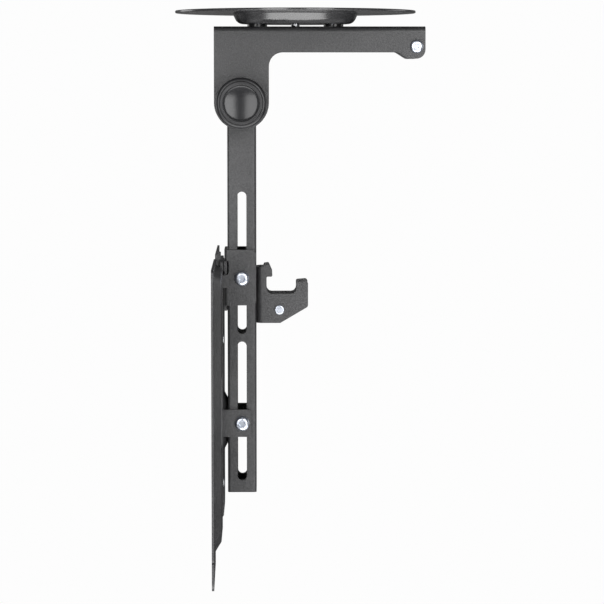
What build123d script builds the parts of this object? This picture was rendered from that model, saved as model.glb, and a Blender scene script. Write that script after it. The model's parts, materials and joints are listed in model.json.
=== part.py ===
"""Folding ceiling mount for a flat screen.

A dished ceiling plate carries a swivelling arm. A slotted pole hangs from the arm at a knob and folds up
towards the ceiling, where its hook takes the latch bolt at the arm's end. The screen plate hangs on the
pole by a clamp with two hooks and a rail with two ears, and slides along the slots to set its height.

X runs along the arm, Y across it and Z up. The origin is the centre of the ceiling plate's top face.
"""

import os
from math import atan2, tan

from build123d import *

os.makedirs("parts", exist_ok=True)

# Play between parts
play = 0.2
running = 0.05
hole_play = 0.4

# Ceiling plate
ceiling_d = 170
ceiling_sheet = 1.8
dish_mouth_d = 89
dish_floor_d = 82
dish_depth = 9.4
dish_mouth_r = 1.4
dish_floor_r = 6.0
ceiling_hole_inset = 13
ceiling_hole_y = 25
ceiling_hole_d = 6.5
ceiling_slot = 9
rim_fillet = 0.6

# Swivel
swivel_d = 6
swivel_range = 60
lock_spacing = 54
lock_d = 6
glide_d = 14
glide_height = 1.9
swivel_head_h = 4
swivel_length = 18
lock_length = 13
lock_washer_thick = 1.4
lock_nut_height = 5

# Arm bracket, a channel with its web on top
arm_back = 57.4
arm_front = 91
arm_width = 38
arm_sheet = 2.5
arm_height = 17.9
arm_bend = 3.8
arm_corner = 10
leg_width = 38.6
web_end = 77.5
lobe_start = 71.6
lobe_flat = 79
lobe_drop = 4.7
lobe_r = 6.4
lobe_blend = 4.0
arm_edge_r = 1.2
pivot_drop = 64.6

# Latch bolt at the arm's end
latch_x = 84.8
latch_drop = 25.2
latch_shoulder_d = 5.6
latch_thread_d = 4.8
latch_length = 43.5
latch_head_d = 9.4
latch_head_h = 2.8
latch_socket = 3
latch_nut_flats = 8
latch_nut_height = 5

# Pivot and knob
pivot_bolt_d = 8
pivot_sleeve_d = 12
pivot_ring_d = 19
pivot_bolt_length = 57
coach_head_d = 20
coach_head_h = 4.5
knob_washer_d = 18
knob_r = 17.6
knob_depth = 25
knob_step = 2.2
knob_edge_r = 2.3
knob_ring_r = 14.1
knob_ring_groove = 0.8
knob_lip_r = 0.6
knob_lip_width = 1.6
knob_groove = 1.2
knob_flutes = 24
flute_r = 2.0
flute_sink = 1.1
flute_margin = 2.5
knob_cap_r = 11.3
knob_cap_seat = 3.4
cap_sink = 0.6
cap_rim = 0.8
cap_dish = 1.5
insert_flats = 13
insert_length = 14
knob_web = 2.0

# Pole, a slotted tube
pole_depth = 20.4
pole_width = 30
pole_wall = 2.0
pole_corner = 2.0
pole_top = 10
pole_end = 341
slot_width = 6.5
upper_slot = (127.4, 228.4)
lower_slot = (233.8, 333.2)
plug_rim = 0.8
plug_reach = 8
plug_wall = 2.6

# Hook bracket on the pole
hook_width = 24
hook_sheet = 2.0
hook_bend = 2.6
hook_top = 180.3
hook_height = 40.6
hook_reach = 36.7
throat_start = 7.3
throat_width = 21.1
throat_depth = 19.8
throat_r = 3.8
nose_reach = 11.4
nose_slant = 4.5
nose_drop = 8.9
nose_tip = 2.9
post_drop = 11.3
post_rise = 0.7
skirt_drop = 29.0
skirt_run = 17.0
rivet_x = 16.4
rivet_drop = 31.1
rivet_d = 5.0
rivet_head_d = 6.8
rivet_head_h = 1.2
hook_rivet_drops = (7.5, 33.0)
hook_rivet_d = 4.0
hook_rivet_head = 1.4

# Latch claw and spring
claw_thick = 6
claw_hub_r = 5.0
claw_edge = 0.8
claw_blend = 3.0
spring_wire = 1.0
spring_turns = 4

# Upper clamp with its two hooks
clamp_sheet = 2.0
clamp_bend = 2.4
clamp_top = 168.4
clamp_height = 39.4
clamp_corner = 4.2
upper_bolt_sink = 20.1
tip_thick = 3.1
tip_sink = 3.8
neck_sink = 18
neck_height = 8.9
mouth_height = 9.9
tongue_drop = 4.4
tongue_width = 24
mouth_r = 2.4
mouth_seat_r = 0.5
mouth_past_web = 3.1

# Hanger rail, its ears and its pressed boss
rail_sheet = 1.8
rail_width = 44
rail_top = 175.2
rail_end = 348.8
rail_corner = 3
rail_rivet_y = (-9, 9)
rail_rivet_z = (-232, -335)
rail_rivet_d = 4
rail_rivet_head = 0.5
relief_d = 2.4
hook_window = 14
ear_height = 19.5
ear_depth = 20
ear_corner = 2.6
lower_bolt_drop = 292
boss_base = 42.7
boss_top = 31.5
boss_width = 18
boss_slope = 2.0
boss_skin = 1.6
boss_r = 6

# Screen plate
screen_x = 57.8
screen_row = 282.2
row_spacing = 200
column_spacing = 200
screen_inner = 100
small_inner = 75
inner_hole_d = 5.2
screen_hole_d = 8.4
plate_border = 11
plate_top = 174.7
plate_sheet = 1.5
plate_skirt = 373
plate_corner = 2.5
pan_rise = 4.4
pan_foot = 166
pan_flat = 154
pan_start = 181
pan_end = 366
pan_r = 1.4
pan_lead = 3
pan_corner = 8
channel_width = 46
channel_depth = 1.4
lug_width = 57
lug_end = 393.4
lug_slant = 9
lug_r = 6
lug_inner_r = 2
notch_width = 38
notch_depth = 26
window_start = 32
window_end = 68
window_height = 52
window_corner = 5

# Clamp screws
clamp_screw_d = 6
screw_head_d = 10.6
screw_head_h = 3.3
screw_socket = 4
nut_flats = 10
nut_height = 6
washer_d = 12.5
washer_thick = 1.4

# Worked out from the sizes above
ceiling_hole_x = ceiling_d / 2 - ceiling_hole_inset
dish_lean = atan2(dish_depth - ceiling_sheet, (dish_mouth_d - dish_floor_d) / 2)
dish_inset = ceiling_sheet * tan(dish_lean / 2)
arm_top = -(dish_depth + glide_height)
web_under = arm_top - arm_sheet
arm_side = arm_width / 2
arm_inner = arm_side - arm_sheet
pivot_x = leg_width / 2 - arm_back
leg_right = leg_width - arm_back
pole_left = pivot_x - pole_depth / 2
pole_right = pivot_x + pole_depth / 2
pole_side = pole_width / 2
clamp_side = pole_side + play / 2 + clamp_sheet
web_face = pole_left - play
mouth_right = web_face - clamp_sheet + mouth_past_web
upper_bolt_drop = clamp_top + upper_bolt_sink
tip_top = clamp_top + tip_sink
neck_top = clamp_top + neck_sink
mouth_open = neck_top - mouth_height
plate_width = column_spacing + 2 * plate_border
sheet_back = -screen_x + plate_sheet
pan_back = sheet_back + pan_rise
channel_back = pan_back - channel_depth
rail_back = channel_back + rail_sheet


def near_face(x, y, z):
    """A plane across the mount that looks out to the near side, -Y."""
    return Plane(origin=(x, y, z), x_dir=(1, 0, 0), z_dir=(0, -1, 0))


def far_face(x, y, z):
    """A plane across the mount that looks out to the far side, +Y."""
    return Plane(origin=(x, y, z), x_dir=(-1, 0, 0), z_dir=(0, 1, 0))


def level(x, y, z):
    """A level plane that looks up."""
    return Plane(origin=(x, y, z), x_dir=(1, 0, 0), z_dir=(0, 0, 1))


def underside(x, y, z):
    """A level plane that looks down."""
    return Plane(origin=(x, y, z), x_dir=(1, 0, 0), z_dir=(0, 0, -1))


def button_screw(seat, shank_d, length, head_d, head_h, socket):
    """A domed screw: its head stands on the seat plane and its shank runs back from it."""
    with BuildPart() as screw:
        with BuildSketch(seat):
            Circle(head_d / 2)
        extrude(amount=head_h)
        crown = screw.faces().sort_by(Axis(seat.origin, seat.z_dir))[-1]
        fillet(crown.edges(), head_h * 0.8)
        with BuildSketch(seat):
            Circle(shank_d / 2)
        extrude(amount=-length)
        with BuildSketch(seat.offset(head_h)):
            RegularPolygon(socket / 2, 6, major_radius=False)
        extrude(amount=-head_h * 0.6, mode=Mode.SUBTRACT)
    return screw.part


def hexagon(seat, flats, height):
    """A hexagon that stands on the seat plane, with its outer corners turned down."""
    with BuildPart() as body:
        with BuildSketch(seat):
            Circle(flats * 0.58)
        extrude(amount=height)
        chamfer(body.faces().sort_by(Axis(seat.origin, seat.z_dir))[-1].edges(), flats * 0.07)
        with BuildSketch(seat):
            RegularPolygon(flats / 2, 6, major_radius=False)
        extrude(amount=height, mode=Mode.INTERSECT)
    return body.part


def lock_nut(seat, bore_d, flats, height):
    """A hexagon nut on the seat plane, with the round collar that holds its insert."""
    with BuildPart() as nut:
        add(hexagon(seat, flats, height * 0.75))
        with BuildSketch(seat):
            Circle(flats * 0.45)
        extrude(amount=height)
        with BuildSketch(seat):
            Circle(bore_d / 2)
        extrude(amount=height, mode=Mode.SUBTRACT)
    return nut.part


def ring(seat, outer_d, bore_d, thick):
    """A flat ring that stands on the seat plane: a washer, bush or spacer."""
    with BuildPart() as body:
        with BuildSketch(seat):
            Circle(outer_d / 2)
            Circle(bore_d / 2, mode=Mode.SUBTRACT)
        extrude(amount=thick)
    return body.part


# Ceiling plate: one spun sheet whose dish points down, with arc slots for the swivel's lock screws
with BuildPart() as ceiling_plate:
    with BuildSketch(Plane.XZ):
        with BuildLine():
            under = FilletPolyline(
                (0, -dish_depth),
                (dish_floor_d / 2, -dish_depth),
                (dish_mouth_d / 2, -ceiling_sheet),
                (ceiling_d / 2, -ceiling_sheet),
                radius=[dish_floor_r, dish_mouth_r],
            )
            Line(under @ 1, (ceiling_d / 2, 0))
            over = FilletPolyline(
                (ceiling_d / 2, 0),
                (dish_mouth_d / 2 - dish_inset, 0),
                (dish_floor_d / 2 - dish_inset, ceiling_sheet - dish_depth),
                (0, ceiling_sheet - dish_depth),
                radius=[dish_mouth_r + ceiling_sheet, dish_floor_r - ceiling_sheet],
            )
            Line(over @ 1, (0, -dish_depth))
        make_face()
    revolve(axis=Axis.Z)
    fillet(ceiling_plate.edges().filter_by(GeomType.CIRCLE).group_by(SortBy.RADIUS)[-1], rim_fillet)
    with BuildSketch(level(0, 0, 0)):
        with GridLocations(2 * ceiling_hole_x, 2 * ceiling_hole_y, 2, 2):
            SlotOverall(ceiling_slot, ceiling_hole_d)
    extrude(amount=-ceiling_sheet, mode=Mode.SUBTRACT)
    with BuildSketch(level(0, 0, -dish_depth)):
        Circle((swivel_d + hole_play) / 2)
        for middle in (0, 180):
            with BuildLine(mode=Mode.PRIVATE):
                lock_path = CenterArc((0, 0), lock_spacing / 2, middle - swivel_range, 2 * swivel_range)
            SlotArc(lock_path, lock_d + hole_play)
    extrude(amount=ceiling_sheet, mode=Mode.SUBTRACT)
ceiling_plate.part.label = "ceiling_plate"
export_step(ceiling_plate.part, "parts/ceiling_plate.step")

# Arm bracket: an L-shaped channel, open below, whose sides reach down to the pivot
with BuildSketch(Plane.XZ) as arm_outline:
    with BuildLine():
        rim = FilletPolyline(
            (-arm_back, -pivot_drop),
            (-arm_back, arm_top),
            (arm_front, arm_top),
            (arm_front, arm_top - arm_height - lobe_drop),
            (lobe_flat, arm_top - arm_height - lobe_drop),
            (lobe_start, arm_top - arm_height),
            (leg_right, arm_top - arm_height),
            (leg_right, -pivot_drop),
            radius=[arm_edge_r, arm_edge_r, lobe_r, lobe_blend, lobe_blend, arm_corner],
        )
        ThreePointArc(rim @ 1, (pivot_x, -pivot_drop - leg_width / 2), rim @ 0)
    make_face()
with BuildPart() as arm_bracket:
    with BuildSketch(Plane.XZ.offset(-arm_side)):
        add(arm_outline.sketch_local)
    extrude(amount=arm_width)
    split(bisect_by=Plane.YZ.offset(web_end), keep=Keep.BOTTOM)
    fillet(arm_bracket.edges().filter_by(Axis.X).group_by(Axis.Z)[-1], arm_bend)
    with BuildSketch(Plane.YZ.offset(web_end)) as channel:
        with Locations((0, web_under)):
            Rectangle(2 * arm_inner, pivot_drop + leg_width, align=(Align.CENTER, Align.MAX))
        fillet(channel.vertices().group_by(Axis.Z)[-1], arm_bend - arm_sheet)
    extrude(amount=-(web_end + arm_back), mode=Mode.SUBTRACT)
    # The sides run on past the web, flat up to their top edges, and leave the hook its way through
    with BuildSketch(Plane.XZ.offset(arm_inner)):
        add(arm_outline.sketch_local)
        with Locations((web_end, arm_top)):
            Rectangle(2 * arm_front, 2 * pivot_drop, align=(Align.MIN, Align.CENTER), mode=Mode.INTERSECT)
    extrude(amount=arm_sheet)
    mirror(about=Plane.XZ)
    with BuildSketch(near_face(pivot_x, arm_side, -pivot_drop)):
        Circle((pivot_bolt_d + hole_play) / 2)
    extrude(amount=arm_width, mode=Mode.SUBTRACT)
    with BuildSketch(near_face(latch_x, arm_side, -latch_drop)):
        Circle((latch_thread_d + hole_play) / 2)
    extrude(amount=arm_width, mode=Mode.SUBTRACT)
    with BuildSketch(level(0, 0, web_under)):
        Circle(swivel_d / 2 + running)
        with GridLocations(lock_spacing, 1, 2, 1):
            Circle((lock_d + hole_play) / 2)
    extrude(amount=arm_sheet, mode=Mode.SUBTRACT)
arm_bracket.part.label = "arm_bracket"
export_step(arm_bracket.part, "parts/arm_bracket.step")

# Swivel: a centre bolt fixed in the dish, two glides that carry the arm, and two screws that lock it
dish_floor = ceiling_sheet - dish_depth
with BuildPart() as swivel_bolt:
    add(hexagon(level(0, 0, dish_floor), nut_flats, swivel_head_h))
    with BuildSketch(level(0, 0, dish_floor)):
        Circle(swivel_d / 2)
    extrude(amount=-swivel_length)
swivel_bolt.part.label = "swivel_bolt"
export_step(swivel_bolt.part, "parts/swivel_bolt.step")

swivel_washer = ring(underside(0, 0, web_under), washer_d, swivel_d + hole_play, washer_thick)
swivel_washer.label = "swivel_washer"
export_step(swivel_washer, "parts/swivel_washer.step")

swivel_nut = lock_nut(underside(0, 0, web_under - washer_thick), swivel_d, nut_flats, nut_height)
swivel_nut.label = "swivel_nut"
export_step(swivel_nut, "parts/swivel_nut.step")

glides = []
lock_screws = []
lock_washers = []
lock_nuts = []
for x in (-lock_spacing / 2, lock_spacing / 2):
    glides.append(ring(level(x, 0, arm_top), glide_d, lock_d + hole_play, glide_height))
    lock_screws.append(
        button_screw(underside(x, 0, web_under), lock_d, lock_length, screw_head_d, screw_head_h, screw_socket)
    )
    lock_washers.append(ring(level(x, 0, dish_floor), washer_d, lock_d + hole_play, lock_washer_thick))
    lock_nuts.append(lock_nut(level(x, 0, dish_floor + lock_washer_thick), lock_d, nut_flats, lock_nut_height))
for name, solids in (
    ("swivel_glides", glides),
    ("lock_screws", lock_screws),
    ("lock_washers", lock_washers),
    ("lock_nuts", lock_nuts),
):
    group = Compound(label=name, children=solids)
    export_step(group, f"parts/{name}.step")

# Latch bolt: a shouldered bolt between the arm's sides, with its nut on the far side
with BuildPart() as latch_bolt:
    add(
        button_screw(
            near_face(latch_x, -arm_side, -latch_drop),
            latch_thread_d,
            latch_length,
            latch_head_d,
            latch_head_h,
            latch_socket,
        )
    )
    with BuildSketch(near_face(latch_x, arm_inner, -latch_drop)):
        Circle(latch_shoulder_d / 2)
    extrude(amount=2 * arm_inner)
latch_bolt.part.label = "latch_bolt"
export_step(latch_bolt.part, "parts/latch_bolt.step")

latch_nut = lock_nut(far_face(latch_x, arm_side, -latch_drop), latch_thread_d, latch_nut_flats, latch_nut_height)
latch_nut.label = "latch_nut"
export_step(latch_nut, "parts/latch_nut.step")

# Pivot: a coach bolt held square in the arm's far side, a sleeve through the pole and a ring each side
with BuildPart() as pivot_bolt:
    with BuildSketch(far_face(pivot_x, arm_side, -pivot_drop)):
        Circle(coach_head_d / 2)
    extrude(amount=coach_head_h)
    crown = pivot_bolt.faces().sort_by(Axis.Y)[-1]
    fillet(crown.edges(), coach_head_h * 0.85)
    with BuildSketch(near_face(pivot_x, arm_side, -pivot_drop)):
        Circle(pivot_bolt_d / 2)
    extrude(amount=pivot_bolt_length)
pivot_bolt.part.label = "pivot_bolt"
export_step(pivot_bolt.part, "parts/pivot_bolt.step")

pivot_sleeve = ring(
    near_face(pivot_x, pole_side, -pivot_drop), pivot_sleeve_d, pivot_bolt_d + 2 * running, pole_width
)
pivot_sleeve.label = "pivot_sleeve"
export_step(pivot_sleeve, "parts/pivot_sleeve.step")

ring_thick = arm_inner - pole_side - running
pivot_rings = Compound(
    label="pivot_rings",
    children=[
        ring(seat, pivot_ring_d, pivot_bolt_d + hole_play, ring_thick)
        for seat in (
            near_face(pivot_x, -pole_side, -pivot_drop),
            far_face(pivot_x, pole_side, -pivot_drop),
        )
    ],
)
export_step(pivot_rings, "parts/pivot_rings.step")

# Knob: a fluted moulding with a ringed face and a dished cap, turning on its threaded insert
knob_washer = ring(
    near_face(pivot_x, -arm_side, -pivot_drop), knob_washer_d, pivot_bolt_d + hole_play, washer_thick
)
knob_washer.label = "knob_washer"
export_step(knob_washer, "parts/knob_washer.step")

knob_back = arm_side + washer_thick + running
knob_face = knob_back + knob_depth
shoulder = knob_depth - knob_step
lip_inner = knob_ring_r - knob_lip_width
with BuildPart() as knob_body:
    # The face has a rounded shoulder, a groove, a raised lip and a second groove round the cap
    with BuildSketch(Plane(origin=(pivot_x, -knob_back, -pivot_drop), x_dir=(1, 0, 0), z_dir=(0, 0, -1))):
        with BuildLine():
            FilletPolyline(
                (0, 0),
                (knob_r, 0),
                (knob_r, shoulder),
                (knob_ring_r + knob_ring_groove, shoulder),
                (knob_ring_r + knob_ring_groove, shoulder - knob_groove),
                (knob_ring_r, shoulder - knob_groove),
                (knob_ring_r, knob_depth),
                (lip_inner, knob_depth),
                (lip_inner, knob_depth - knob_groove),
                (knob_cap_r + running, knob_depth - knob_groove),
                (knob_cap_r + running, knob_depth - knob_cap_seat),
                (0, knob_depth - knob_cap_seat),
                radius=[0, play, knob_edge_r, 0, 0, 0, knob_lip_r, knob_lip_r, 0, 0, 0, 0],
                close=True,
            )
        make_face()
    revolve(axis=Axis((pivot_x, 0, -pivot_drop), (0, -1, 0)))
    with BuildSketch(near_face(pivot_x, -knob_back, -pivot_drop)):
        with PolarLocations(knob_r + flute_sink, knob_flutes):
            Circle(flute_r)
    extrude(amount=shoulder - knob_edge_r - flute_margin, mode=Mode.SUBTRACT)
    with BuildSketch(near_face(pivot_x, -knob_back, -pivot_drop)):
        RegularPolygon(insert_flats / 2 + running, 6, major_radius=False)
    extrude(amount=insert_length, mode=Mode.SUBTRACT)
    with BuildSketch(near_face(pivot_x, -knob_back, -pivot_drop)):
        Circle(pivot_bolt_d / 2 + play)
    extrude(amount=knob_depth - knob_cap_seat - knob_web, mode=Mode.SUBTRACT)
knob_body.part.label = "knob_body"
export_step(knob_body.part, "parts/knob_body.step")

with BuildPart() as knob_insert:
    with BuildSketch(near_face(pivot_x, -knob_back, -pivot_drop)):
        RegularPolygon(insert_flats / 2, 6, major_radius=False)
        Circle(pivot_bolt_d / 2 + running, mode=Mode.SUBTRACT)
    extrude(amount=insert_length)
knob_insert.part.label = "knob_insert"
export_step(knob_insert.part, "parts/knob_insert.step")

cap_seat = knob_face - knob_cap_seat
dish_ball = ((knob_cap_r - cap_rim) ** 2 + cap_dish**2) / (2 * cap_dish)
with BuildPart() as knob_cap:
    with BuildSketch(near_face(pivot_x, -cap_seat, -pivot_drop)):
        Circle(knob_cap_r)
    extrude(amount=knob_cap_seat - cap_sink)
    with Locations((pivot_x, cap_sink + cap_dish - dish_ball - knob_face, -pivot_drop)):
        Sphere(dish_ball, mode=Mode.SUBTRACT)
knob_cap.part.label = "knob_cap"
export_step(knob_cap.part, "parts/knob_cap.step")

# Pole: a rectangular tube with a bolt hole at the top and two long slots through its wide sides
with BuildPart() as pole:
    with BuildSketch(level(pivot_x, 0, pole_top - pivot_drop)):
        RectangleRounded(pole_depth, pole_width, pole_corner)
        RectangleRounded(
            pole_depth - 2 * pole_wall, pole_width - 2 * pole_wall, pole_corner / 2, mode=Mode.SUBTRACT
        )
    extrude(amount=-(pole_end - pivot_drop + pole_top))
    with BuildSketch(near_face(pivot_x, pole_side, -pivot_drop)):
        Circle(pivot_sleeve_d / 2 + running)
    extrude(amount=pole_width, mode=Mode.SUBTRACT)
    for slot_top, slot_end in (upper_slot, lower_slot):
        with BuildSketch(near_face(pivot_x, pole_side, -(slot_top + slot_end) / 2)):
            SlotOverall(slot_end - slot_top, slot_width, rotation=90)
        extrude(amount=pole_width, mode=Mode.SUBTRACT)
    with BuildSketch(Plane.YZ.offset(pole_right)):
        for drop in hook_rivet_drops:
            with Locations((0, -hook_top - drop)):
                Circle(hook_rivet_d / 2)
    extrude(amount=-pole_wall, mode=Mode.SUBTRACT)
pole.part.label = "pole"
export_step(pole.part, "parts/pole.step")

with BuildPart() as pole_plug:
    with BuildSketch(underside(pivot_x, 0, -pole_end)):
        RectangleRounded(pole_depth, pole_width, pole_corner)
    extrude(amount=plug_rim)
    with BuildSketch(level(pivot_x, 0, -pole_end)):
        RectangleRounded(
            pole_depth - 2 * pole_wall - play, pole_width - 2 * pole_wall - play, pole_corner / 2
        )
        RectangleRounded(
            pole_depth - 2 * pole_wall - plug_wall,
            pole_width - 2 * pole_wall - plug_wall,
            pole_corner / 4,
            mode=Mode.SUBTRACT,
        )
    extrude(amount=plug_reach)
pole_plug.part.label = "pole_plug"
export_step(pole_plug.part, "parts/pole_plug.step")

# Hook bracket: a folded channel on the pole's front, with an open throat for the latch bolt
hook_x = pole_right
rivet_at = (hook_x + rivet_x, -hook_top - rivet_drop)
with BuildPart() as hook_bracket:
    with BuildSketch(near_face(hook_x, hook_width / 2, -hook_top)):
        with BuildLine():
            FilletPolyline(
                (0, 0),
                (nose_reach - nose_slant, 0),
                (nose_reach, -nose_drop + nose_tip),
                (nose_reach, -nose_drop),
                (throat_start, -nose_drop),
                (throat_start, -throat_depth),
                (throat_start + throat_width, -throat_depth),
                (throat_start + throat_width, -post_drop),
                (hook_reach, -post_drop + post_rise),
                (hook_reach, -skirt_drop),
                (skirt_run, -hook_height),
                (0, -hook_height),
                radius=[0, 1.6, 1.6, 1.2, 0.8, throat_r, throat_r, 1.2, 2.0, 2.4, 1.6, 0],
                close=True,
            )
        make_face()
    extrude(amount=hook_width)
    folds = hook_bracket.edges().filter_by(Axis.Z).group_by(Axis.X)[0]
    fillet(folds, hook_bend)
    with BuildSketch(Plane.XY.offset(-hook_top + hook_height)) as hook_channel:
        with Locations((hook_x + hook_sheet, 0)):
            Rectangle(hook_reach, hook_width - 2 * hook_sheet, align=(Align.MIN, Align.CENTER))
        fillet(hook_channel.vertices().group_by(Axis.X)[0], hook_bend - hook_sheet)
    extrude(amount=-3 * hook_height, mode=Mode.SUBTRACT)
    with BuildSketch(near_face(rivet_at[0], hook_width / 2, rivet_at[1])):
        Circle(rivet_d / 2)
    extrude(amount=hook_width, mode=Mode.SUBTRACT)
    with BuildSketch(Plane.YZ.offset(hook_x)):
        for drop in hook_rivet_drops:
            with Locations((0, -hook_top - drop)):
                Circle(hook_rivet_d / 2)
    extrude(amount=hook_sheet, mode=Mode.SUBTRACT)
hook_bracket.part.label = "hook_bracket"
export_step(hook_bracket.part, "parts/hook_bracket.step")

hook_rivet_solids = []
for drop in hook_rivet_drops:
    with BuildPart() as hook_rivet:
        with BuildSketch(Plane.YZ.offset(hook_x + hook_sheet)):
            with Locations((0, -hook_top - drop)):
                Circle(hook_rivet_d)
        extrude(amount=hook_rivet_head)
        fillet(hook_rivet.faces().sort_by(Axis.X)[-1].edges(), hook_rivet_head * 0.7)
        with BuildSketch(Plane.YZ.offset(hook_x + hook_sheet)):
            with Locations((0, -hook_top - drop)):
                Circle(hook_rivet_d / 2)
        extrude(amount=-hook_sheet - pole_wall)
        with BuildSketch(Plane.YZ.offset(pole_right - pole_wall)):
            with Locations((0, -hook_top - drop)):
                Circle(hook_rivet_d * 0.85)
        extrude(amount=-hook_rivet_head)
    hook_rivet_solids.append(hook_rivet.part)
hook_rivets = Compound(label="hook_rivets", children=hook_rivet_solids)
export_step(hook_rivets, "parts/hook_rivets.step")

with BuildPart() as latch_rivet:
    for seat in (
        near_face(rivet_at[0], -hook_width / 2, rivet_at[1]),
        far_face(rivet_at[0], hook_width / 2, rivet_at[1]),
    ):
        with BuildSketch(seat):
            Circle(rivet_head_d / 2)
        extrude(amount=rivet_head_h)
    fillet(latch_rivet.faces().sort_by(Axis.Y)[0].edges(), rivet_head_h * 0.7)
    fillet(latch_rivet.faces().sort_by(Axis.Y)[-1].edges(), rivet_head_h * 0.7)
    with BuildSketch(near_face(rivet_at[0], hook_width / 2, rivet_at[1])):
        Circle(rivet_d / 2)
    extrude(amount=hook_width)
latch_rivet.part.label = "latch_rivet"
export_step(latch_rivet.part, "parts/latch_rivet.step")

# Latch claw: a flat pawl on the rivet whose finger stands behind the hook's front post
finger_left = throat_start + throat_width + claw_edge
finger_right = hook_reach - claw_edge
with BuildPart() as latch_claw:
    with BuildSketch(near_face(hook_x, claw_thick / 2, -hook_top)):
        with BuildLine():
            finger = FilletPolyline(
                (rivet_x, -rivet_drop + claw_hub_r),
                (finger_left, -throat_depth - claw_edge - throat_r),
                (finger_left, -post_drop - claw_edge),
                (finger_right, -post_drop - claw_edge),
                (finger_right, -skirt_drop + claw_edge),
                (rivet_x, -rivet_drop - claw_hub_r),
                radius=[claw_blend, 1.5, 1.5, claw_blend],
            )
            Line(finger @ 1, finger @ 0)
        make_face()
        with Locations((rivet_x, -rivet_drop)):
            Circle(claw_hub_r)
            Circle(rivet_d / 2 + running, mode=Mode.SUBTRACT)
    extrude(amount=claw_thick)
latch_claw.part.label = "latch_claw"
export_step(latch_claw.part, "parts/latch_claw.step")

# Latch spring and spacer fill the rivet on either side of the claw
claw_room = hook_width / 2 - hook_sheet - claw_thick / 2
latch_spacer = ring(
    near_face(rivet_at[0], -claw_thick / 2 - running, rivet_at[1]),
    rivet_d + 2 * spring_wire,
    rivet_d + 2 * running,
    claw_room - 2 * running,
)
latch_spacer.label = "latch_spacer"
export_step(latch_spacer, "parts/latch_spacer.step")

coil_r = rivet_d / 2 + play + spring_wire / 2
coil_pitch = (claw_room - 2 * play - spring_wire) / spring_turns
coil_start = claw_thick / 2 + play + spring_wire / 2
with BuildPart() as latch_spring:
    with BuildLine():
        coil = Helix(
            pitch=coil_pitch,
            height=coil_pitch * spring_turns,
            radius=coil_r,
            center=(rivet_at[0], coil_start, rivet_at[1]),
            direction=(0, 1, 0),
        )
    with BuildSketch(Plane(origin=coil @ 0, z_dir=coil % 0)):
        Circle(spring_wire / 2)
    sweep(path=coil, is_frenet=True)
latch_spring.part.label = "latch_spring"
export_step(latch_spring.part, "parts/latch_spring.step")

# Upper clamp: a folded channel round the pole, with a hook on each side that carries the rail
clamp_right = pole_right - play / 2
with BuildSketch(Plane.XZ) as clamp_outline:
    with BuildLine():
        FilletPolyline(
            (web_face - clamp_sheet, -clamp_top),
            (clamp_right, -clamp_top),
            (clamp_right, -clamp_top - clamp_height),
            (web_face - clamp_sheet, -clamp_top - clamp_height),
            radius=[0, clamp_corner, clamp_corner, 0],
            close=True,
        )
    make_face()
tip_left = rail_back - rail_sheet - play - tip_thick
with BuildSketch(Plane.XZ) as clamp_hook:
    with BuildLine():
        FilletPolyline(
            (tip_left, -tip_top),
            (tip_left + tip_thick, -tip_top),
            (tip_left + tip_thick, -neck_top),
            (mouth_right, -neck_top),
            (mouth_right, -mouth_open),
            (pivot_x, -mouth_open),
            (pivot_x, -neck_top - neck_height),
            (tip_left, -neck_top - neck_height),
            radius=[0.8, 0.8, mouth_seat_r, mouth_r, 0.5, 0, 0, 2.5],
            close=True,
        )
    make_face()
with BuildSketch(Plane.XZ) as clamp_mouth:
    with BuildLine():
        FilletPolyline(
            (tip_left, -clamp_top),
            (tip_left, -neck_top),
            (mouth_right, -neck_top),
            (mouth_right, -mouth_open),
            (web_face - clamp_sheet, -mouth_open),
            (web_face - clamp_sheet, -clamp_top),
            radius=[0, mouth_r, mouth_r, 0.5, 0, 0],
            close=True,
        )
    make_face()
with BuildPart() as upper_clamp:
    with BuildSketch(Plane.XZ.offset(-clamp_side)):
        add(clamp_outline.sketch_local)
    extrude(amount=2 * clamp_side)
    fillet(upper_clamp.edges().filter_by(Axis.Z).group_by(Axis.X)[0], clamp_bend)
    with BuildSketch(Plane.XY.offset(-clamp_top)) as clamp_channel:
        with Locations((web_face, 0)):
            Rectangle(
                2 * pole_depth, 2 * (clamp_side - clamp_sheet), align=(Align.MIN, Align.CENTER)
            )
        fillet(clamp_channel.vertices().group_by(Axis.X)[0], clamp_bend - clamp_sheet)
    extrude(amount=-2 * clamp_height, mode=Mode.SUBTRACT)
    with BuildSketch(Plane.XZ.offset(clamp_side - clamp_bend)):
        add(clamp_mouth.sketch_local)
    extrude(amount=clamp_bend, mode=Mode.SUBTRACT)
    with BuildSketch(Plane.XZ.offset(-clamp_side)):
        add(clamp_mouth.sketch_local)
    extrude(amount=clamp_bend, mode=Mode.SUBTRACT)
    with BuildSketch(Plane.XZ.offset(clamp_side - clamp_sheet)):
        add(clamp_hook.sketch_local)
    extrude(amount=clamp_sheet)
    with BuildSketch(Plane.XZ.offset(-clamp_side)):
        add(clamp_hook.sketch_local)
    extrude(amount=clamp_sheet)
    # The web reaches down below the sides as a tongue
    with BuildSketch(Plane.YZ.offset(web_face - clamp_sheet)) as tongue:
        with Locations((0, -clamp_top - clamp_height + clamp_bend)):
            Rectangle(tongue_width, tongue_drop + clamp_bend, align=(Align.CENTER, Align.MAX))
        fillet(tongue.vertices().group_by(Axis.Z)[0], 1.5)
    extrude(amount=clamp_sheet)
    with BuildSketch(near_face(pivot_x, clamp_side, -upper_bolt_drop)):
        Circle((clamp_screw_d + hole_play) / 2)
    extrude(amount=2 * clamp_side, mode=Mode.SUBTRACT)
upper_clamp.part.label = "upper_clamp"
export_step(upper_clamp.part, "parts/upper_clamp.step")

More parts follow.
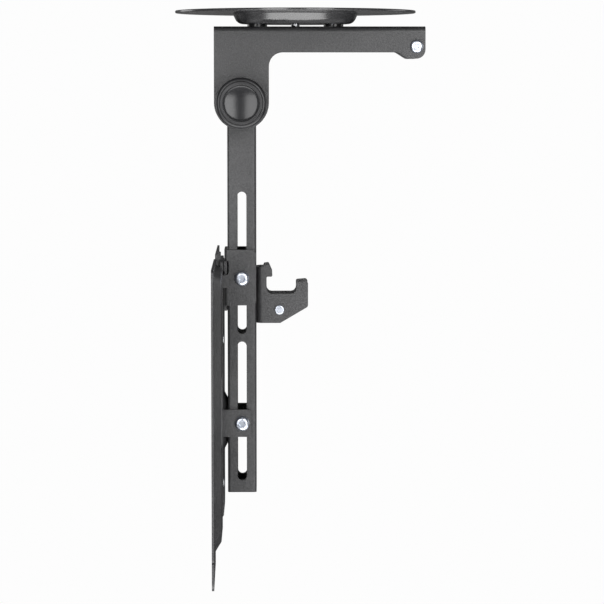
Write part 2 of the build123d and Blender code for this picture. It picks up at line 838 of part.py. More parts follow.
# Hanger rail: a strip on the screen plate with two ears folded round the pole and a boss that meets it
ear_end = rail_back + ear_depth
with BuildPart() as hanger_rail:
    with BuildSketch(Plane.YZ.offset(rail_back - rail_sheet)):
        with Locations((0, -(rail_top + rail_end) / 2)):
            RectangleRounded(rail_width, rail_end - rail_top, rail_corner)
    extrude(amount=rail_sheet)
    with BuildSketch(Plane.YZ.offset(rail_back)):
        with Locations((0, -lower_bolt_drop)):
            RectangleRounded(boss_width + 2 * boss_slope, boss_base, boss_r)
    with BuildSketch(Plane.YZ.offset(pole_left - play)):
        with Locations((0, -lower_bolt_drop)):
            RectangleRounded(boss_width, boss_top, boss_r - boss_slope)
    loft()
    with BuildSketch(Plane.YZ.offset(rail_back - rail_sheet)):
        with Locations((0, -lower_bolt_drop)):
            RectangleRounded(
                boss_width + 2 * boss_slope - 2 * boss_skin, boss_base - 2 * boss_skin, boss_r - boss_skin
            )
    with BuildSketch(Plane.YZ.offset(pole_left - play - rail_sheet)):
        with Locations((0, -lower_bolt_drop)):
            RectangleRounded(boss_width - 2 * boss_skin, boss_top - 2 * boss_skin, boss_r - boss_slope)
    loft(mode=Mode.SUBTRACT)
    # Ears, each folded out of the strip, with a relief above and below its root
    with BuildSketch(Plane.XZ.offset(clamp_side - clamp_sheet)) as ear:
        with BuildLine():
            FilletPolyline(
                (rail_back - rail_sheet, -lower_bolt_drop + ear_height / 2),
                (ear_end, -lower_bolt_drop + ear_height / 2),
                (ear_end, -lower_bolt_drop - ear_height / 2),
                (rail_back - rail_sheet, -lower_bolt_drop - ear_height / 2),
                radius=[0, ear_corner, ear_corner, 0],
                close=True,
            )
        make_face()
    extrude(amount=clamp_sheet)
    mirror(hanger_rail.part, about=Plane.XZ)
    with BuildSketch(Plane.YZ.offset(rail_back)):
        with GridLocations(2 * clamp_side - clamp_sheet, 0, 2, 1):
            with Locations(
                (0, -lower_bolt_drop + ear_height / 2 + relief_d / 2),
                (0, -lower_bolt_drop - ear_height / 2 - relief_d / 2),
            ):
                Circle(relief_d / 2)
            with Locations((0, play - neck_top - hook_window / 2)):
                Rectangle(clamp_sheet + 3 * play, hook_window)
        with Locations(*[(y, z) for y in rail_rivet_y for z in rail_rivet_z]):
            Circle(rail_rivet_d / 2)
    extrude(amount=-rail_sheet, mode=Mode.SUBTRACT)
    with BuildSketch(near_face(pivot_x, clamp_side, -lower_bolt_drop)):
        Circle((clamp_screw_d + hole_play) / 2)
    extrude(amount=2 * clamp_side, mode=Mode.SUBTRACT)
hanger_rail.part.label = "hanger_rail"
export_step(hanger_rail.part, "parts/hanger_rail.step")

rail_rivet_solids = []
for y in rail_rivet_y:
    for z in rail_rivet_z:
        with BuildPart() as rail_rivet:
            with BuildSketch(Plane.YZ.offset(rail_back)):
                with Locations((y, z)):
                    Circle(rail_rivet_d)
            extrude(amount=rail_rivet_head)
            fillet(rail_rivet.faces().sort_by(Axis.X)[-1].edges(), rail_rivet_head * 0.7)
            with BuildSketch(Plane.YZ.offset(rail_back)):
                with Locations((y, z)):
                    Circle(rail_rivet_d / 2)
            extrude(amount=-rail_sheet - plate_sheet)
            with BuildSketch(Plane.YZ.offset(channel_back - plate_sheet)):
                with Locations((y, z)):
                    Circle(rail_rivet_d * 0.85)
            extrude(amount=-rail_rivet_head)
        rail_rivet_solids.append(rail_rivet.part)
rail_rivets = Compound(label="rail_rivets", children=rail_rivet_solids)
export_step(rail_rivets, "parts/rail_rivets.step")

# Screen plate: a pressed pan in a flat border, with a channel for the rail, wide lugs below, a notch
# above and the screen's holes
pan_middle = -(pan_start + pan_end) / 2
foot_middle = -(pan_start - pan_lead + plate_skirt) / 2
foot_height = plate_skirt - pan_start + pan_lead
with BuildPart() as pan_hollow:
    with BuildSketch(Plane.YZ.offset(-screen_x)):
        with Locations((0, foot_middle)):
            RectangleRounded(pan_foot - plate_sheet, foot_height - 2 * plate_sheet, pan_corner)
    with BuildSketch(Plane.YZ.offset(pan_back - plate_sheet)):
        with Locations((0, pan_middle)):
            RectangleRounded(
                pan_flat - plate_sheet, pan_end - pan_start - plate_sheet, pan_corner - plate_sheet / 2
            )
    loft()
    with BuildSketch(Plane.YZ.offset(channel_back - plate_sheet)):
        with Locations((0, pan_middle)):
            Rectangle(channel_width + 2 * plate_sheet, foot_height)
    extrude(amount=channel_depth, mode=Mode.SUBTRACT)
with BuildPart() as screen_plate:
    with BuildSketch(Plane.YZ.offset(-screen_x)) as plate_outline:
        with Locations((0, -plate_top)):
            Rectangle(plate_width, plate_skirt - plate_top, align=(Align.CENTER, Align.MAX))
        fillet(plate_outline.vertices().group_by(Axis.Z)[-1], plate_corner)
        for side in (-1, 1):
            with BuildLine():
                FilletPolyline(
                    (side * plate_width / 2, -plate_skirt),
                    (side * plate_width / 2, -lug_end),
                    (side * (plate_width / 2 - lug_width), lug_slant - lug_end),
                    (side * (plate_width / 2 - lug_width), -plate_skirt),
                    radius=[0, lug_r, lug_inner_r, 0],
                    close=True,
                )
            make_face()
    extrude(amount=plate_sheet)
    with BuildSketch(Plane.YZ.offset(sheet_back)):
        with Locations((0, foot_middle)):
            RectangleRounded(pan_foot, foot_height - plate_sheet, pan_corner)
    with BuildSketch(Plane.YZ.offset(pan_back)):
        with Locations((0, pan_middle)):
            RectangleRounded(pan_flat, pan_end - pan_start, pan_corner)
    loft()
    fillet(screen_plate.faces().sort_by(Axis.X)[-1].edges(), pan_r)
    with BuildSketch(Plane.YZ.offset(pan_back)):
        with Locations((0, pan_middle)):
            Rectangle(channel_width, foot_height)
    extrude(amount=-channel_depth, mode=Mode.SUBTRACT)
    add(pan_hollow.part, mode=Mode.SUBTRACT)
    with BuildSketch(Plane.YZ.offset(-screen_x)):
        with Locations((0, -plate_top)):
            Rectangle(notch_width, notch_depth, align=(Align.CENTER, Align.MAX))
        with Locations((0, -screen_row)):
            with GridLocations(column_spacing, row_spacing, 2, 2):
                Circle(screen_hole_d / 2)
            with GridLocations(column_spacing, row_spacing / 2, 2, 2):
                Circle(screen_hole_d / 2)
            with GridLocations(screen_inner, screen_inner, 2, 2):
                Circle(inner_hole_d / 2)
            with GridLocations(small_inner, small_inner, 2, 2):
                Circle(inner_hole_d / 2)
            with GridLocations(window_start + window_end, 0, 2, 1):
                RectangleRounded(window_end - window_start, window_height, window_corner)
        with Locations(*[(y, z) for y in rail_rivet_y for z in rail_rivet_z]):
            Circle(rail_rivet_d / 2)
    extrude(amount=plate_sheet + pan_rise, mode=Mode.SUBTRACT)
screen_plate.part.label = "screen_plate"
export_step(screen_plate.part, "parts/screen_plate.step")

# Clamp screws, washers and nuts, one set through each slot of the pole
for name, drop in (("upper", upper_bolt_drop), ("lower", lower_bolt_drop)):
    clamp_screw = button_screw(
        near_face(pivot_x, -clamp_side, -drop),
        clamp_screw_d,
        2 * clamp_side + washer_thick + nut_height + 1,
        screw_head_d,
        screw_head_h,
        screw_socket,
    )
    clamp_screw.label = f"{name}_screw"
    export_step(clamp_screw, f"parts/{name}_screw.step")
    clamp_washer = ring(
        far_face(pivot_x, clamp_side, -drop), washer_d, clamp_screw_d + hole_play, washer_thick
    )
    clamp_washer.label = f"{name}_washer"
    export_step(clamp_washer, f"parts/{name}_washer.step")
    clamp_nut = lock_nut(
        far_face(pivot_x, clamp_side + washer_thick, -drop), clamp_screw_d, nut_flats, nut_height
    )
    clamp_nut.label = f"{name}_nut"
    export_step(clamp_nut, f"parts/{name}_nut.step")
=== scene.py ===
"""Finishes, folded and turned pieces, light and camera for the folding ceiling mount.

The frame is in metres. New pieces are drawn in millimetres and scaled once, where their mesh is made.
"""

import json
import math

import bmesh
import bpy
import numpy as np
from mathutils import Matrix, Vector
from mathutils.geometry import tessellate_polygon


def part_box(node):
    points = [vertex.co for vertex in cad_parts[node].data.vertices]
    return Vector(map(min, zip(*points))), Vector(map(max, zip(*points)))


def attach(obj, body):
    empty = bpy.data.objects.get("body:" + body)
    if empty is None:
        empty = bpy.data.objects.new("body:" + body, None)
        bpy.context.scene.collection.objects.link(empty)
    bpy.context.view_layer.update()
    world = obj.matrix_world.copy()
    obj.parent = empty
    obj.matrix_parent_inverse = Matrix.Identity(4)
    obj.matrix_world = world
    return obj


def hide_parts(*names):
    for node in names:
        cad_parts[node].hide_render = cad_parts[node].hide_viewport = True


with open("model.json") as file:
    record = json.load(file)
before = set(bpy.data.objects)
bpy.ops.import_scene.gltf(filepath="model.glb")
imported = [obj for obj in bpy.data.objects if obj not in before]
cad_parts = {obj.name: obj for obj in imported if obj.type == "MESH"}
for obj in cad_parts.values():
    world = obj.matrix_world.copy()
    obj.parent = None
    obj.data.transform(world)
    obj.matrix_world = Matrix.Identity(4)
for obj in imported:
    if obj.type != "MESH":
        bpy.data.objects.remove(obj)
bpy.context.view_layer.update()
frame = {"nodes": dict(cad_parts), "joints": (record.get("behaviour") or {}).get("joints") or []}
nodes = frame["nodes"]

MM = 0.001
X, Y, Z = 0, 1, 2


class Field:
    """A shader socket that adds, subtracts and multiplies like a number."""

    def __init__(self, tree, socket=None):
        self.tree = tree
        self.socket = socket

    def node(self, kind, settings, sockets, out=0):
        """A node of one kind: its settings first, then the value or link of each socket."""
        made = self.tree.nodes.new(kind)
        for name, value in settings.items():
            setattr(made, name, value)
        for name, value in sockets.items():
            if isinstance(value, Field):
                self.tree.links.new(value.socket, made.inputs[name])
            else:
                made.inputs[name].default_value = value
        return Field(self.tree, made.outputs[out] if made.outputs else None)

    def maths(self, operation, *values):
        return self.node("ShaderNodeMath", {"operation": operation}, dict(enumerate(values)))

    def __add__(self, other):
        return self.maths("ADD", self, other)

    def __sub__(self, other):
        return self.maths("SUBTRACT", self, other)

    def __rsub__(self, other):
        return self.maths("SUBTRACT", other, self)

    def __mul__(self, other):
        return self.maths("MULTIPLY", self, other)

    __radd__ = __add__
    __rmul__ = __mul__

    def clamped(self, low, high):
        """0 below low, 1 above high and a straight line between."""
        settings = {"clamp": True}
        return self.node("ShaderNodeMapRange", settings, {0: self, 1: low, 2: high, 3: 0.0, 4: 1.0})

    def mixed(self, dark, light):
        """The colour dark where this field is 0 and the colour light where it is 1."""
        first, second = (end if isinstance(end, Field) else (*end, 1) for end in (dark, light))
        return self.node("ShaderNodeMix", {"data_type": "RGBA"}, {0: self, 6: first, 7: second}, 2)


def finish_of(name):
    """A new material with its tree emptied, and a field to build it from."""
    made = bpy.data.materials.new(name)
    made.use_nodes = True
    made.node_tree.nodes.clear()
    return made, Field(made.node_tree)


def closed(made, start, sockets):
    """Ends a finish with its surface shader and output."""
    shader = start.node("ShaderNodeBsdfPrincipled", {}, sockets)
    start.node("ShaderNodeOutputMaterial", {"target": "ALL"}, {"Surface": shader})
    return made


def object_place(start):
    return start.node("ShaderNodeTexCoord", {}, {}, "Object")


def noise(start, place, scale, detail=2.0, rough=0.5):
    """Soft noise from 0 to 1 with this many cells to the metre."""
    sockets = {"Vector": place, "Scale": scale, "Detail": detail, "Roughness": rough}
    return start.node("ShaderNodeTexNoise", {}, sockets)


def soft_edge(start, radius):
    """The surface's normal, turned round sharp edges as if they had this radius."""
    return start.node("ShaderNodeBevel", {"samples": 6}, {"Radius": radius})


def bumped(start, height, strength, distance, normal=None):
    """The surface's normal, tilted by a height."""
    sockets = {"Strength": strength, "Distance": distance, "Height": height}
    if normal is not None:
        sockets["Normal"] = normal
    return start.node("ShaderNodeBump", {}, sockets)


def powder_coat(name, low, high, shine, relief):
    """Charcoal powder coat: a fine orange-peel grain, faint clouds in its grey and soft sheet edges."""
    made, start = finish_of(name)
    place = object_place(start)
    grain = noise(start, place, 900, 3.0, 0.65)
    peel = noise(start, place, 420, 1.0)
    cloud = noise(start, place, 26, 3.0)
    speck = noise(start, place, 2600, 1.0).clamped(0.62, 0.74)
    tone = (cloud * 0.35 + grain * 0.65).clamped(0.3, 0.7)
    grey = tone.mixed((0.008, 0.008, 0.009), (0.052, 0.052, 0.054))
    sockets = {
        "Base Color": (speck * 0.5).mixed(grey, (0.1, 0.1, 0.104)),
        "Roughness": grain * (high - low) + low,
        "Specular IOR Level": shine,
        "Normal": bumped(start, grain * 0.7 + peel * 0.5, 0.9, relief, soft_edge(start, 0.0002)),
    }
    return closed(made, start, sockets)


def turned_metal(name, dark, light, low, high, lines, strength):
    """Plated steel with fine tool lines and clouded polish."""
    made, start = finish_of(name)
    place = object_place(start)
    cloud = noise(start, place, 160, 3.0)
    fine = noise(start, place, lines)
    sockets = {
        "Base Color": cloud.clamped(0.3, 0.7).mixed(dark, light),
        "Metallic": 1.0,
        "Roughness": (cloud * 0.6 + fine * 0.4).clamped(0.25, 0.75) * (high - low) + low,
        "Normal": bumped(start, fine, strength, 0.00002, soft_edge(start, 0.00025)),
    }
    return closed(made, start, sockets)


def moulded_plastic():
    """Black nylon with the fine spark texture of its mould and faint rubbed patches."""
    made, start = finish_of("moulded_plastic")
    place = object_place(start)
    spark = noise(start, place, 3200)
    rub = noise(start, place, 70, 3.0).clamped(0.35, 0.7)
    sockets = {
        "Base Color": (rub * 0.6 + spark * 0.4).mixed((0.008, 0.008, 0.009), (0.024, 0.024, 0.026)),
        "Roughness": rub * 0.12 + 0.28,
        "Specular IOR Level": 0.5,
        "Normal": bumped(start, spark, 0.35, 0.00003, soft_edge(start, 0.0004)),
    }
    return closed(made, start, sockets)


def gloss_plastic():
    """Polished black plastic with a slow ripple and fine haze."""
    made, start = finish_of("gloss_plastic")
    place = object_place(start)
    ripple = noise(start, place, 120, 1.0)
    haze = noise(start, place, 900, 3.0)
    sockets = {
        "Base Color": haze.mixed((0.012, 0.012, 0.013), (0.022, 0.022, 0.024)),
        "Roughness": haze * 0.12 + 0.15,
        "Normal": bumped(start, ripple, 0.1, 0.0004),
    }
    return closed(made, start, sockets)


def black_plate():
    """Black-plated steel with a worn, slightly brown sheen."""
    made, start = finish_of("black_plate")
    place = object_place(start)
    wear = noise(start, place, 210, 4.0).clamped(0.45, 0.75)
    fine = noise(start, place, 1900)
    sockets = {
        "Base Color": wear.mixed((0.03, 0.03, 0.032), (0.12, 0.11, 0.1)),
        "Metallic": 0.8,
        "Roughness": 0.5 - wear * 0.15,
        "Normal": bumped(start, fine, 0.3, 0.00003, soft_edge(start, 0.0003)),
    }
    return closed(made, start, sockets)


def box_of(node):
    """A node's lowest and highest corners, in millimetres."""
    return [np.array(corner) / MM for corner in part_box(node)]


def axis_of(joint):
    """The x and z of the line that a joint turns about, in millimetres."""
    place = next(row["pos_m"] for row in frame["joints"] if row["name"] == joint)
    return place[X] / MM, place[Z] / MM


def rounded(corners, steps=8):
    """A closed outline through corners that each give two places and a rounding radius.

    Each corner's arc starts and ends where a circle of its radius touches the two straight sides, and
    its points are the circle's centre plus the radius times the cosine and sine of even steps of angle.
    """
    radii = [corner[2] for corner in corners]
    corners = np.array(corners, float)[:, :2]
    rows = []
    for before, corner, after, radius in zip(np.roll(corners, 1, 0), corners, np.roll(corners, -1, 0), radii):
        if radius == 0:
            rows.append(corner[None])
            continue
        back = (before - corner) / np.linalg.norm(before - corner)
        ahead = (after - corner) / np.linalg.norm(after - corner)
        half = math.acos(np.clip(back @ ahead, -1, 1)) / 2
        centre = corner + (back + ahead) / np.linalg.norm(back + ahead) * radius / math.sin(half)
        first = corner + back * radius / math.tan(half) - centre
        last = corner + ahead * radius / math.tan(half) - centre
        start = math.atan2(first[1], first[0])
        sweep = (math.atan2(last[1], last[0]) - start + math.pi) % (2 * math.pi) - math.pi
        angle = start + sweep * np.linspace(0, 1, steps + 1)
        rows.append(centre + radius * np.stack((np.cos(angle), np.sin(angle)), 1))
    return np.concatenate(rows)


def circle(x, y, radius, count=24):
    """A closed circle of points: the centre plus the radius times the cosine and sine of even angles."""
    angle = np.arange(count) * 2 * math.pi / count
    return np.stack((x + radius * np.cos(angle), y + radius * np.sin(angle)), 1)


def flat_face(outlines, axis, level):
    """A flat patch square to an axis, which fills the first outline and leaves out the others."""
    lines = [[Vector(point) for point in np.insert(outline, 2, 0, axis=1)] for outline in outlines]
    return np.insert(np.concatenate(outlines), axis, level, axis=1), np.array(tessellate_polygon(lines))


def bend_face(section, axis, ends):
    """A curved patch: a section's points at both ends of its run along an axis, joined by faces."""
    points = np.concatenate([np.insert(section, axis, end, axis=1) for end in ends])
    count = len(section)
    low = np.arange(count - 1)
    return points, np.stack((low, low + 1, low + 1 + count, low + count), 1)


def piece_of(name, patches, finish, body, node):
    """One mesh from patches of points and faces, welded where they meet, in place of a CAD node."""
    points = np.concatenate([patch for patch, _ in patches]) * MM
    starts = np.cumsum([0] + [len(patch) for patch, _ in patches[:-1]])
    faces = [face for start, (_, rows) in zip(starts, patches) for face in (start + rows).tolist()]
    mesh = bpy.data.meshes.new(name)
    mesh.from_pydata(points.tolist(), [], faces)
    form = bmesh.new()
    form.from_mesh(mesh)
    bmesh.ops.remove_doubles(form, verts=form.verts, dist=1e-7)
    bmesh.ops.recalc_face_normals(form, faces=form.faces)
    form.to_mesh(mesh)
    form.free()
    mesh.shade_smooth()
    mesh.materials.append(finish)
    piece = bpy.data.objects.new(name, mesh)
    bpy.context.scene.collection.objects.link(piece)
    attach(piece, body)
    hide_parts(node)
    return piece


def thickened(piece, sheet):
    """Gives a folded skin the thickness of its sheet, inwards."""
    wall = piece.modifiers.new("sheet", "SOLIDIFY")
    wall.thickness = sheet * MM
    wall.offset = -1
    wall.use_even_offset = True
    return piece


def smooth_faces(part):
    """Round faces read as round and flat faces as flat, and edges over 30 degrees stay sharp."""
    weld = part.modifiers.new("seams", "WELD")
    weld.merge_threshold = 1e-6
    split = part.modifiers.new("sharp_edges", "EDGE_SPLIT")
    split.split_angle = math.radians(30)
    split.use_edge_sharp = False
    weight = part.modifiers.new("flat_faces", "WEIGHTED_NORMAL")
    weight.weight = 100


# Angles over a quarter turn, for the bends of folded sheet
quarter = np.linspace(0, math.pi / 2, 11)


def folded_arm(finish):
    """The arm as one folded sheet: two L-shaped sides, two bends and a web that is open at its end.

    Its outer skin is made flat by flat. Each side is the side's outline at plus or minus half the arm's
    width. Each bend is a quarter circle, whose height is the bend's centre plus the radius times the
    sine of the angle and whose width is the centre plus the radius times the cosine. The skin is then
    thickened inwards by the sheet.
    """
    (back, _, _), (front, half, top) = box_of("arm_bracket")
    pivot, drop = axis_of("fold")
    sheet, bend, heel_r = 2.5, 3.8, 19.3
    under, under_end = -29.2, 71.6
    lobe, lobe_start = -33.9, 79
    slot_half, slot_start = 12.9, 77.5
    latch_x, latch_z = 84.8, -25.2
    pivot_hole_r, latch_hole_r = 4.2, 2.6
    bolt_hole_r, lock_hole_r, lock_x = 3.1, 3.2, 27
    leg = pivot + heel_r
    fold, flank = top - bend, half - bend
    corners = [
        (back, drop, 0),
        (back, fold, 0),
        (front, fold, 0),
        (front, lobe, 6.4),
        (lobe_start, lobe, 4),
        (under_end, under, 4),
        (leg, under, 10),
        (leg, drop, 0),
    ]
    turn = math.pi * np.arange(1, 32) / 32
    heel = np.stack((pivot + heel_r * np.cos(turn), drop - heel_r * np.sin(turn)), 1)
    side = np.concatenate((rounded(corners), heel))
    side_holes = [circle(pivot, drop, pivot_hole_r, 32), circle(latch_x, latch_z, latch_hole_r)]
    web = rounded(
        [
            (back, -flank, 0),
            (front, -flank, 0),
            (front, -slot_half, 0),
            (slot_start, -slot_half, 2),
            (slot_start, slot_half, 2),
            (front, slot_half, 0),
            (front, flank, 0),
            (back, flank, 0),
        ]
    )
    web_holes = [circle(0, 0, bolt_hole_r), circle(-lock_x, 0, lock_hole_r), circle(lock_x, 0, lock_hole_r)]
    patches = [flat_face([web, *web_holes], Z, top)]
    for sign in (-1, 1):
        section = np.stack((sign * (flank + bend * np.cos(quarter)), fold + bend * np.sin(quarter)), 1)
        patches.append(flat_face([side, *side_holes], Y, sign * half))
        patches.append(bend_face(section, X, (back, front)))
    skin = piece_of("folded_arm", patches, finish, "arm", "arm_bracket")
    return thickened(skin, sheet)


def folded_hook(finish):
    """The hook bracket as one folded sheet: two hooked sides, two wide bends and a back against the pole.

    The skin is made as the arm's is. Each bend is a quarter circle again, here from the back's flat to
    the side's: its distance from the pole is the radius less the radius times the cosine of the angle,
    and its width is the back's half width plus the radius times the sine.
    """
    (pole, _, low), (_, half, top) = box_of("hook_bracket")
    sheet, bend = 2.0, 4.5
    foot, step = low - top, -1.0
    nose_reach, nose_under = 11.4, -7.6
    throat_start, throat_end, throat_floor = 7.3, 28.4, -19.8
    reach = 36.7
    pin_hole_r, rivet_hole_r = 2.5, 2
    rivet_drops = (7.5, 33)
    flank = half - bend
    corners = [
        (bend, step, 0),
        (4.9, step, 0.2),
        (5.6, 0.6, 0.5),
        (8.8, 1.0, 1.1),
        (11.3, -4.8, 1.4),
        (nose_reach, nose_under, 1),
        (throat_start, nose_under, 0.8),
        (throat_start, throat_floor, 3.8),
        (throat_end, throat_floor, 3.8),
        (throat_end, -11.3, 1.2),
        (reach, -10.6, 2),
        (reach, -29, 2.4),
        (17, foot, 1.6),
        (bend, foot, 0),
    ]
    side = rounded(corners) + (pole, top)
    pin_hole = circle(*axis_of("latch"), pin_hole_r, 32)
    patches = []
    for sign in (-1, 1):
        section = np.stack((pole + bend - bend * np.cos(quarter), sign * (flank + bend * np.sin(quarter))), 1)
        patches.append(flat_face([side, pin_hole], Y, sign * half))
        patches.append(bend_face(section, Z, (low, top + step)))
    plate = np.array([(-flank, low), (flank, low), (flank, top + step), (-flank, top + step)])
    rivet_holes = [circle(0, top - rivet_drop, rivet_hole_r) for rivet_drop in rivet_drops]
    patches.append(flat_face([plate, *rivet_holes], X, pole))
    skin = piece_of("folded_hook", patches, finish, "folding_pole", "hook_bracket")
    return thickened(skin, sheet)


def turned(profile, count, dent=None):
    """A surface turned about the knob's axis from a profile of radius and distance from the knob's back.

    Across the axis each point is the radius times the cosine and sine of its angle, and along the axis
    it keeps its distance. Where dent is given, it takes the radii and distances of the whole grid and
    the angles, and gives the radii that are used.
    """
    axis_x, axis_z = axis_of("knob_turn")
    back = box_of("knob_body")[1][Y]
    profile = np.array(profile, float)
    angle = np.arange(count) * 2 * math.pi / count
    radius = np.repeat(profile[:, :1], count, 1)
    along = np.repeat(profile[:, 1:], count, 1)
    if dent is not None:
        radius = dent(radius, along, angle[None])
    points = np.stack((axis_x + radius * np.cos(angle), back - along, axis_z + radius * np.sin(angle)), -1)
    grid = np.arange(len(profile) * count).reshape(-1, count)
    low, high = grid[:-1], grid[1:]
    faces = np.stack((low, np.roll(low, -1, 1), np.roll(high, -1, 1), high), -1).reshape(-1, 4)
    return points.reshape(-1, 3), faces


def knob_moulding(finish):
    """The knob's fluted body, with a rounded shoulder and a raised lip between two fine grooves.

    A flute is a small circle whose centre lies on a ring about the axis. At an angle from the middle of
    a flute its wall is the ring's radius times the cosine, less the root of the flute's radius squared
    minus the square of the ring's radius times the sine. The body keeps the smaller of this and its own
    radius, from the back up to where the flutes end.
    """
    flutes, flute_r, flute_ring, flute_end = 24, 2, 18.7, 18
    body_r, shoulder, face = 17.6, 23.9, 25
    lip_inner, lip_outer = 12.8, 14.85
    mouth_r, seat = 12.45, 21.6
    insert_r, insert_end = 7.6, 14
    bore_r, bore_end = 4.2, 19.6
    step = 0.01

    def fluted(radius, along, angle):
        pitch = 2 * math.pi / flutes
        off = (angle + pitch / 2) % pitch - pitch / 2
        room = flute_r**2 - (flute_ring * np.sin(off)) ** 2
        wall = flute_ring * np.cos(off) - np.sqrt(np.maximum(room, 0))
        cut = (room > 0) & (along < flute_end + step) & (radius > lip_outer)
        return np.where(cut, np.minimum(radius, wall), radius)

    corners = [
        (0, seat, 0),
        (mouth_r, seat, 0),
        (mouth_r, 24.3, 0),
        (lip_inner, 24.3, 0),
        (lip_inner, face, 0.4),
        (lip_outer, face, 0.4),
        (lip_outer, 23.6, 0),
        (15.2, 23.6, 0),
        (15.2, shoulder, 0.1),
        (body_r, shoulder, 2.3),
        (body_r, flute_end + step, 0),
        (body_r, flute_end, 0),
        (body_r, 0, 0.3),
        (insert_r, 0, 0),
        (insert_r, insert_end, 0),
        (bore_r, insert_end, 0),
        (bore_r, bore_end, 0),
        (0, bore_end, 0),
    ]
    patch = turned(rounded(corners, 6), 15 * flutes, fluted)
    return piece_of("knob_moulding", [patch], finish, "knob", "knob_body")


def knob_dish(finish):
    """The knob's glossy cap: a flat disc whose face sinks as the square of the radius inside a fine rim."""
    seat, floor_at, sag = 21.6, 22.7, 1.5
    bowl_r, cap_r = 11.6, 12.4
    inside = np.linspace(0, bowl_r, 16)
    bowl = np.stack((inside, floor_at + sag * (inside / bowl_r) ** 2), 1)
    rim = [(11.85, 24.4), (12.15, 24.4), (cap_r, 24.15), (cap_r, seat), (0, seat)]
    patch = turned(np.concatenate((bowl, rim)), 120)
    return piece_of("knob_dish", [patch], finish, "knob", "knob_cap")


def lamp(name, place, target, size, watts):
    """A soft lamp, this wide and this high, turned towards a point."""
    data = bpy.data.lights.new(name, "AREA")
    data.shape = "RECTANGLE"
    data.size, data.size_y = size
    data.energy = watts
    made = bpy.data.objects.new(name, data)
    scene.collection.objects.link(made)
    made.location = place
    made.rotation_mode = "QUATERNION"
    made.rotation_quaternion = (Vector(target) - Vector(place)).to_track_quat("-Z", "Y")


coat = powder_coat("powder_coat", 0.27, 0.47, 0.6, 0.00022)
satin = powder_coat("satin_coat", 0.14, 0.26, 1.0, 0.00003)
bright = turned_metal("bright_nickel", (0.56, 0.6, 0.68), (0.72, 0.76, 0.84), 0.24, 0.36, 2400, 0.1)
zinc = turned_metal("zinc_plate", (0.42, 0.43, 0.45), (0.62, 0.63, 0.65), 0.26, 0.42, 1800, 0.25)
brass = turned_metal("turned_brass", (0.55, 0.4, 0.16), (0.7, 0.54, 0.26), 0.22, 0.36, 2000, 0.2)
wire = turned_metal("spring_wire", (0.3, 0.3, 0.31), (0.45, 0.45, 0.46), 0.25, 0.4, 2600, 0.2)
plastic = moulded_plastic()
gloss = gloss_plastic()
claw_finish = black_plate()

finishes = {
    satin: "ceiling_plate",
    coat: "arm_bracket pole hook_bracket upper_clamp hanger_rail screen_plate",
    bright: "lock_screws latch_bolt upper_screw lower_screw pivot_bolt latch_rivet",
    zinc: "swivel_bolt swivel_washer swivel_nut lock_washers lock_nuts latch_nut knob_washer "
    "upper_washer upper_nut lower_washer lower_nut hook_rivets rail_rivets",
    brass: "knob_insert",
    wire: "latch_spring",
    plastic: "knob_body pole_plug pivot_sleeve pivot_rings latch_spacer",
    gloss: "knob_cap swivel_glides",
    claw_finish: "latch_claw",
}
for finish, names in finishes.items():
    for name in names.split():
        nodes[name].material_slots[0].material = finish

new_pieces = (folded_arm(coat), folded_hook(coat), knob_moulding(plastic), knob_dish(gloss))
for part in (*nodes.values(), *new_pieces):
    smooth_faces(part)

# Camera: to the near side of the mount, below the ceiling plate, and pitched down a little
scene = bpy.context.scene
scene.view_settings.view_transform = "Standard"
camera_data = bpy.data.cameras.new("camera")
camera = bpy.data.objects.new("camera", camera_data)
scene.collection.objects.link(camera)
scene.camera = camera
camera.location = (-0.0226, -1.607, -0.0426)
camera.rotation_mode = "QUATERNION"
line_of_sight = Vector((0.0047, 0, -0.1725)) - camera.location
camera.rotation_quaternion = line_of_sight.to_track_quat("-Z", "Y")
camera_data.sensor_width = 36
camera_data.lens = 134.6
camera_data.shift_y = -0.08

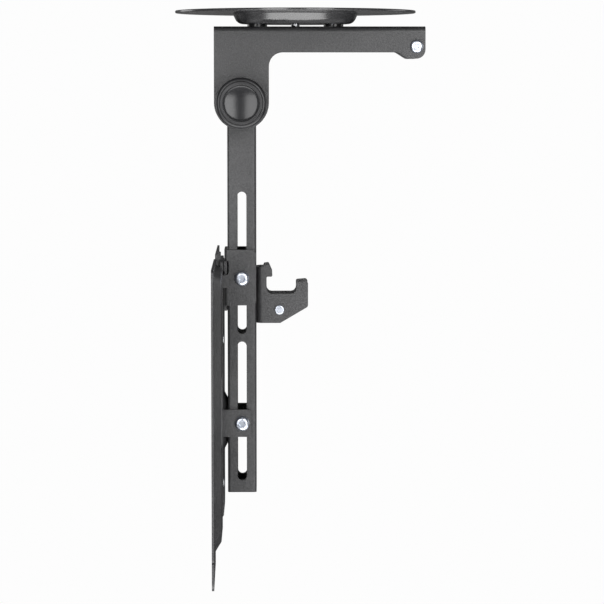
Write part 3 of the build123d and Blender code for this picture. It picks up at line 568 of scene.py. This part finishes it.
# Lamps: two tall ones in front, two weak ones behind the sides, and a wide one below for the dish
middle = (0, 0, -0.2)
lamp("front_right_lamp", (0.9, -2.3, 0.25), middle, (1.1, 2.0), 34)
lamp("front_left_lamp", (-0.85, -2.3, 0.2), middle, (1.0, 2.0), 26)
lamp("right_lamp", (1.7, 0.7, -0.1), middle, (1.0, 1.0), 3)
lamp("left_lamp", (-1.6, 1.2, -0.1), middle, (0.9, 0.9), 5)
lamp("low_lamp", (0.0, -0.55, -1.15), (0, 0, 0), (2.4, 1.3), 34)

# World: nearly white to the camera and through clear parts, a low even fill for the rest
world = bpy.data.worlds.new("studio")
scene.world = world
world.use_nodes = True
world.node_tree.nodes.clear()
air = Field(world.node_tree)
camera_ray, glossy_ray, clear_ray = (
    air.node("ShaderNodeLightPath", {}, {}, name)
    for name in ("Is Camera Ray", "Is Glossy Ray", "Is Transmission Ray")
)
seen = air.maths("MAXIMUM", camera_ray, clear_ray)
level = seen * 0.942 + glossy_ray * 0.1 + 0.04
ground = air.node("ShaderNodeBackground", {}, {"Color": (1, 1, 1, 1), "Strength": level})
air.node("ShaderNodeOutputWorld", {}, {"Surface": ground})

# Floor: a pale plane well below the mount, as white to the camera as the ground behind
floor_mesh = bpy.data.meshes.new("floor")
floor_half, floor_z = 6, -1.3
floor_corners = [(x * floor_half, y * floor_half, floor_z) for x, y in ((-1, -1), (1, -1), (1, 1), (-1, 1))]
floor_mesh.from_pydata(floor_corners, [], [(0, 1, 2, 3)])
floor = bpy.data.objects.new("floor", floor_mesh)
scene.collection.objects.link(floor)
floor_finish, base = finish_of("floor_paper")
paper = noise(base, object_place(base), 40).mixed((0.78, 0.78, 0.78), (0.82, 0.82, 0.82))
matte = base.node("ShaderNodeBsdfDiffuse", {}, {"Color": paper})
white = base.node("ShaderNodeEmission", {}, {"Color": (1, 1, 1, 1), "Strength": 0.982})
for_camera = base.node("ShaderNodeLightPath", {}, {}, "Is Camera Ray")
shown = base.node("ShaderNodeMixShader", {}, {0: for_camera, 1: matte, 2: white})
base.node("ShaderNodeOutputMaterial", {}, {"Surface": shown})
floor_mesh.materials.append(floor_finish)
